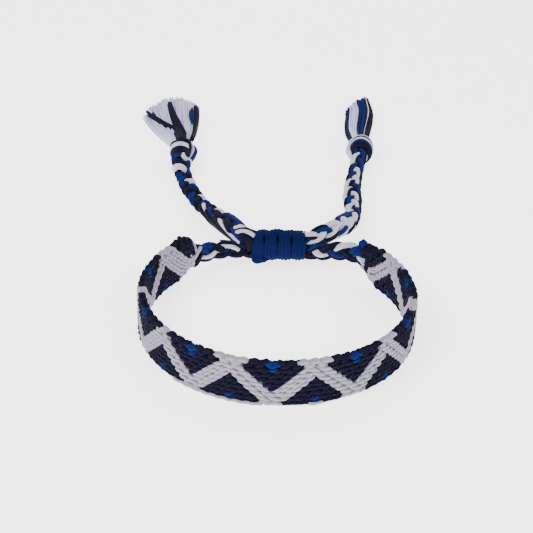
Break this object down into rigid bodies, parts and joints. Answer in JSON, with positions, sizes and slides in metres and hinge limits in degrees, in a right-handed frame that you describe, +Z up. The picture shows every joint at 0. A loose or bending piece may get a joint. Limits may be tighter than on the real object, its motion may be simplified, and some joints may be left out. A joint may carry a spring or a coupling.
{
  "type": "friendship bracelet",
  "caption": "Woven friendship bracelet with a zigzag pattern, closed by a sliding knot on braided cords that end in knots and tassels.",
  "frame": {"origin": "middle of the closed loop, on the surface it stands on", "axes": "+Z up along the wrist's axis, -Y towards the middle of the band, +Y towards the sliding knot, +X to the right as seen from the front"},
  "size_m": [0.0797, 0.1784, 0.0121],
  "materials": {
    "navy_cotton": "matte cotton yarn, knotted",
    "blue_cotton": "matte cotton yarn, wrapped",
    "white_cotton": "matte off-white cotton yarn, loose",
    "braid_cotton": "matte braid of off-white, navy and blue cotton yarn"
  },
  "bodies": {
    "root": {"band": "navy_cotton", "closing_braid_left": "braid_cotton", "closing_braid_right": "braid_cotton", "sliding_knot": "blue_cotton", "tail_left": "braid_cotton", "tail_right": "braid_cotton", "end_knot_left": "navy_cotton", "end_knot_right": "navy_cotton", "tassel_left": "white_cotton", "tassel_right": "white_cotton"}
  },
  "joints": []
}
